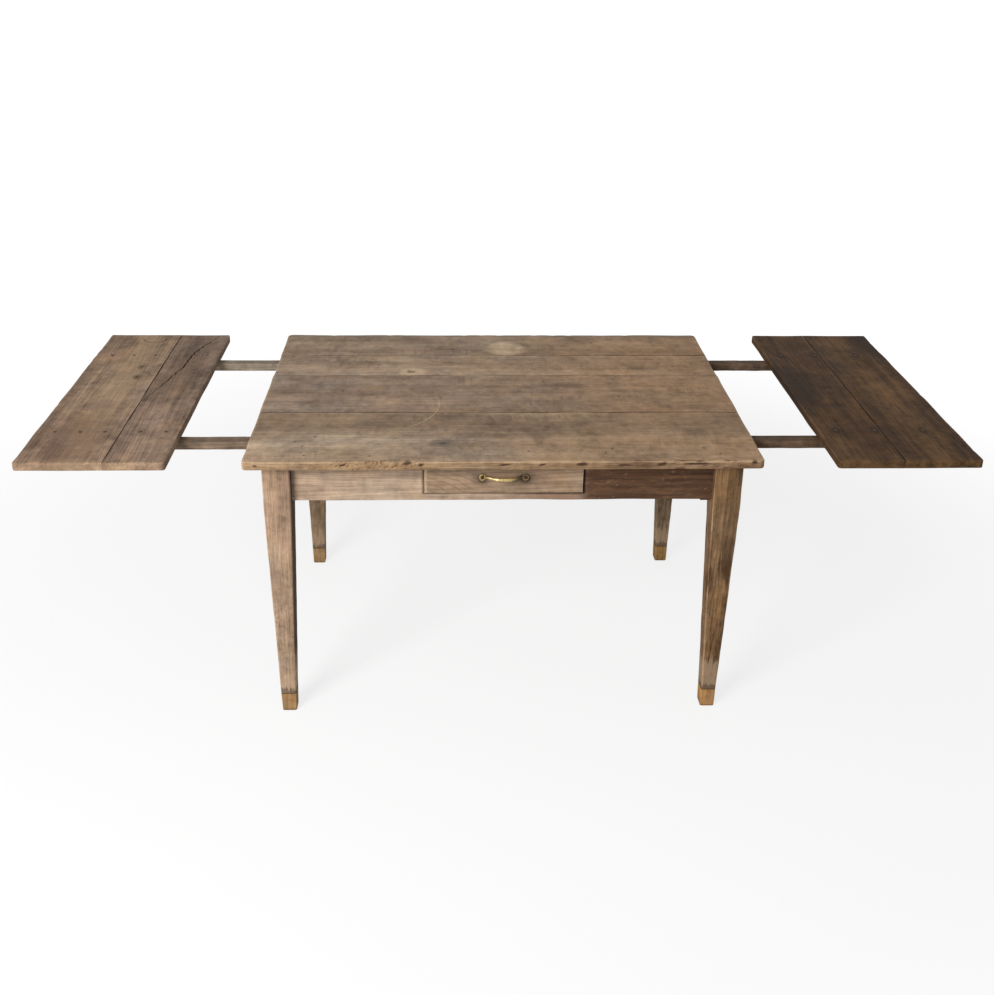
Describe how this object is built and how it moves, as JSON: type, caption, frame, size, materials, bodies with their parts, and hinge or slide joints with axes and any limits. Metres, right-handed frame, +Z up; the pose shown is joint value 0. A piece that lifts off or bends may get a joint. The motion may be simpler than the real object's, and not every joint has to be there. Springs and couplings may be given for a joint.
{
  "type": "farmhouse table",
  "caption": "Extending farmhouse table: plank top on tapered legs, apron drawer with a brass bow pull, and draw-out end leaves on wooden runners.",
  "frame": {"origin": "on the floor, under the middle of the table", "axes": "+X along the table to the right leaf, -Y the side with the drawer, +Z up"},
  "size_m": [2.362, 0.91, 0.76],
  "materials": {
    "top_wood": "worn bare pine with a grey-brown bloom, knots and scratches",
    "leg_wood": "worn bare pine, rubbed light on the arrises",
    "new_wood": "new yellow pine, unfinished",
    "apron_wood": "old stained pine, red-brown where it was sheltered",
    "drawer_front_wood": "worn grey-brown pine",
    "inner_wood": "rough sawn pine, never finished",
    "left_leaf_wood": "dark grey-brown pine with a long crack",
    "right_leaf_wood": "dark brown pine with black stains",
    "runner_wood": "dark hardwood rubbed by sliding",
    "brass": "old brass, bright where it is held and brown elsewhere",
    "iron": "rusted dark iron"
  },
  "bodies": {
    "table": {"top_board_front": "top_wood", "top_board_centre": "top_wood", "top_board_inner": "top_wood", "top_board_rear": "top_wood", "front_left_leg": "leg_wood", "front_left_foot_tip": "new_wood", "front_right_leg": "leg_wood", "front_right_foot_tip": "new_wood", "rear_right_leg": "leg_wood", "rear_right_foot_tip": "new_wood", "rear_left_leg": "leg_wood", "rear_left_foot_tip": "new_wood", "foot_dowels": "new_wood", "corner_blocks": "inner_wood", "front_apron": "apron_wood", "rear_apron": "apron_wood", "left_end_apron": "apron_wood", "right_end_apron": "apron_wood", "left_drawer_bearer": "inner_wood", "left_drawer_guide": "inner_wood", "left_drawer_stop": "inner_wood", "left_cross_batten": "inner_wood", "right_drawer_bearer": "inner_wood", "right_drawer_guide": "inner_wood", "right_drawer_stop": "inner_wood", "right_cross_batten": "inner_wood", "batten_screws": "iron", "left_front_slide_front_cleat": "inner_wood", "left_front_slide_rear_cleat": "inner_wood", "left_rear_slide_front_cleat": "inner_wood", "left_rear_slide_rear_cleat": "inner_wood", "right_front_slide_front_cleat": "inner_wood", "right_front_slide_rear_cleat": "inner_wood", "right_rear_slide_front_cleat": "inner_wood", "right_rear_slide_rear_cleat": "inner_wood", "cleat_screws": "iron"},
    "drawer": {"drawer_front": "drawer_front_wood", "drawer_left_side": "inner_wood", "drawer_right_side": "inner_wood", "drawer_back": "inner_wood", "drawer_bottom": "inner_wood", "drawer_handle": "brass", "handle_screws": "iron"},
    "left_leaf": {"left_leaf_inner_board": "left_leaf_wood", "left_leaf_outer_board": "left_leaf_wood", "left_leaf_front_runner": "runner_wood", "left_leaf_rear_runner": "runner_wood", "left_leaf_screws": "iron"},
    "right_leaf": {"right_leaf_inner_board": "right_leaf_wood", "right_leaf_outer_board": "right_leaf_wood", "right_leaf_front_runner": "runner_wood", "right_leaf_rear_runner": "runner_wood", "right_leaf_screws": "iron"}
  },
  "joints": [
    {"name": "drawer_slide", "type": "slide", "parent": "table", "child": "drawer", "axis": [0, -1, 0], "range_m": [0, 0.38]},
    {"name": "left_leaf_slide", "type": "slide", "parent": "table", "child": "left_leaf", "axis": [-1, 0, 0], "range_m": [-0.18, 0.19]},
    {"name": "right_leaf_slide", "type": "slide", "parent": "table", "child": "right_leaf", "axis": [1, 0, 0], "range_m": [-0.18, 0.19]}
  ]
}
